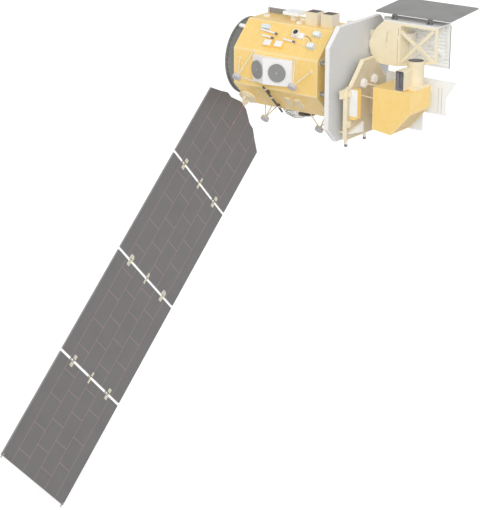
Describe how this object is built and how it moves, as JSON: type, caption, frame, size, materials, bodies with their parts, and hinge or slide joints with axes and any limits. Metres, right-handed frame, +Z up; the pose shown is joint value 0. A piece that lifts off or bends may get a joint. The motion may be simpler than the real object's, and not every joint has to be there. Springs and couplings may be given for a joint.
{
  "type": "earth observation satellite",
  "caption": "Earth observation satellite: octagonal gold bus, instrument deck with imager and telescope, and a folding solar wing on a turning drive.",
  "frame": {"origin": "centre of the separation plane, the rear face of the adapter ring", "axes": "+X along the bus towards the instrument deck, +Z up, solar wing towards -Y and down"},
  "size_m": [5.012, 10.3823, 9.6485],
  "materials": {
    "gold_film": "crinkled gold film",
    "dark_skirt": "matt dark grey",
    "bare_metal": "machined",
    "deck_grey": "satin grey",
    "white_paint": "satin white",
    "tan_film": "tan blanket",
    "dark_panel": "matt dark",
    "solar_cells": "solar cells under cover glass",
    "pad_grey": "grey pad",
    "tan_paint": "satin tan",
    "black_paint": "matt black"
  },
  "bodies": {
    "spacecraft": {"bus_body": "gold_film", "adapter_ring": "dark_skirt", "thrusters": "bare_metal", "deck_plate": "deck_grey", "deck_posts": "bare_metal", "tracker_baffles": "tan_paint", "receiver_slab": "dark_panel", "whip_post": "tan_paint", "patch_leg": "white_paint", "patch_antenna": "white_paint", "top_brackets": "white_paint", "upper_boxes": "white_paint", "gold_boxes": "gold_film", "feed_rods": "tan_paint", "star_camera": "white_paint", "rim_antenna": "white_paint", "side_housing": "white_paint", "side_discs": "dark_panel", "stow_pads": "pad_grey", "stow_tripods": "tan_paint", "drive_base": "tan_paint", "relay_boxes": "tan_paint", "mast": "black_paint", "basket": "bare_metal", "lower_dish": "black_paint", "equipment_panel": "tan_film", "equipment_stands": "tan_paint", "locker": "white_paint", "hex_units": "white_paint", "white_brace": "white_paint", "deck_feet": "black_paint", "imager_body": "gold_film", "imager_pedestal": "tan_film", "tower_plinth": "tan_film", "tower": "tan_film", "imager_radiator": "white_paint", "radiator_stands": "white_paint", "scope_housing": "tan_film", "scope_saddles": "tan_paint", "scope_frame": "tan_film", "scope_roof": "white_paint", "scope_radiator": "white_paint", "shade_brackets": "black_paint"},
    "wing_rotor": {"drive_rotor": "tan_paint"},
    "wing_panel_1": {"wing_yoke": "tan_paint", "panel_1": "solar_cells", "fold_1_inner_hinges": "pad_grey"},
    "wing_panel_2": {"panel_2": "solar_cells", "fold_1_outer_hinges": "pad_grey", "fold_2_inner_hinges": "pad_grey"},
    "wing_panel_3": {"panel_3": "solar_cells", "fold_2_outer_hinges": "pad_grey", "fold_3_inner_hinges": "pad_grey"},
    "wing_panel_4": {"panel_4": "solar_cells", "fold_3_outer_hinges": "pad_grey"},
    "sun_shade": {"shade": "dark_panel", "shade_arms": "black_paint"}
  },
  "joints": [
    {"name": "wing_drive", "type": "hinge", "parent": "spacecraft", "child": "wing_rotor", "pos_m": [0.449, -0.60882, -0.74883], "axis": [0, -0.7449, -0.6672], "continuous": true},
    {"name": "wing_fold", "type": "hinge", "parent": "wing_rotor", "child": "wing_panel_1", "pos_m": [0.449, -0.73098, -0.85824], "axis": [0, -0.6672, 0.7449], "range_deg": [0, 90]},
    {"name": "fold_1", "type": "hinge", "parent": "wing_panel_1", "child": "wing_panel_2", "pos_m": [0.417, -2.39507, -2.34873], "axis": [0, 0.6672, -0.7449], "range_deg": [0, 180]},
    {"name": "fold_2", "type": "hinge", "parent": "wing_panel_2", "child": "wing_panel_3", "pos_m": [0.481, -4.24539, -4.00601], "axis": [0, -0.6672, 0.7449], "range_deg": [0, 180]},
    {"name": "fold_3", "type": "hinge", "parent": "wing_panel_3", "child": "wing_panel_4", "pos_m": [0.417, -6.09571, -5.66329], "axis": [0, 0.6672, -0.7449], "range_deg": [0, 180]},
    {"name": "shade_hinge", "type": "hinge", "parent": "spacecraft", "child": "sun_shade", "pos_m": [4, 0.485, 1.265], "axis": [1, 0, 0], "range_deg": [0, 95]}
  ],
  "couplings": [
    {"joint": "fold_1", "follows": "wing_fold", "ratio": 2},
    {"joint": "fold_2", "follows": "wing_fold", "ratio": 2},
    {"joint": "fold_3", "follows": "wing_fold", "ratio": 2}
  ]
}
